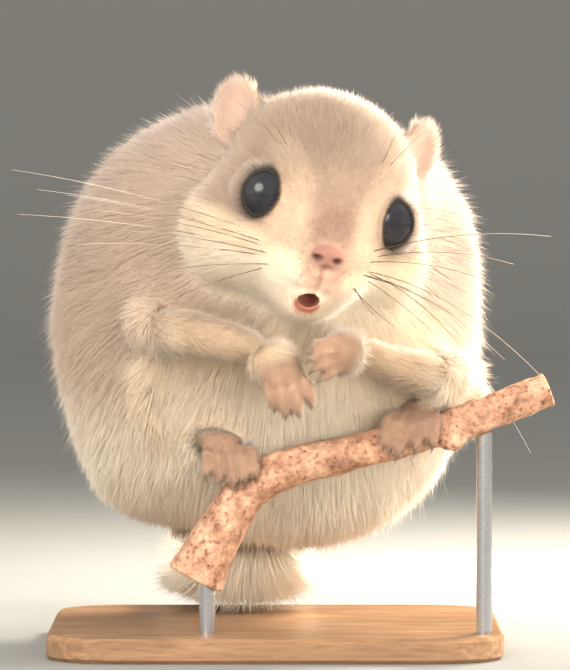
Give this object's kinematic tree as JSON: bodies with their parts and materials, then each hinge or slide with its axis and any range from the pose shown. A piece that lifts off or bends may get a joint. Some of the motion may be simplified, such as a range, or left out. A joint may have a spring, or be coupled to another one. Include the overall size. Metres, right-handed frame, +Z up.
{
  "type": "flying squirrel model",
  "caption": "Life-size still model of a flying squirrel in winter coat, hunched on a short cut branch with its hands together under its chin, held by two rods on a flat base.",
  "frame": {"origin": "middle of the stand base's underside", "axes": "+Z up, the animal faces -Y, its right side is at -X"},
  "size_m": [0.1037, 0.1543, 0.1157],
  "materials": {
    "fur": "dense soft coat, grey-fawn above and cream below",
    "paw": "short-haired pinkish brown skin",
    "bare_skin": "bare pink-brown nose pad",
    "eye": "glossy near-black",
    "bark": "rough reddish-brown bark with dark flecks",
    "base": "satin varnished hardwood",
    "rod": "plain satin steel"
  },
  "bodies": {
    "root": {"head": "fur", "nose": "bare_skin", "eye_right": "eye", "eye_left": "eye", "ear_right": "fur", "ear_left": "fur", "trunk": "fur", "tail": "fur", "foreleg_right": "fur", "foreleg_left": "fur", "hand_right": "paw", "hand_left": "paw", "hindleg_right": "fur", "hindleg_left": "fur", "foot_right": "paw", "foot_left": "paw", "membrane_right": "fur", "membrane_left": "fur", "perch": "bark", "stand_base": "base", "stand_rod_right": "rod", "stand_rod_left": "rod"}
  },
  "joints": []
}
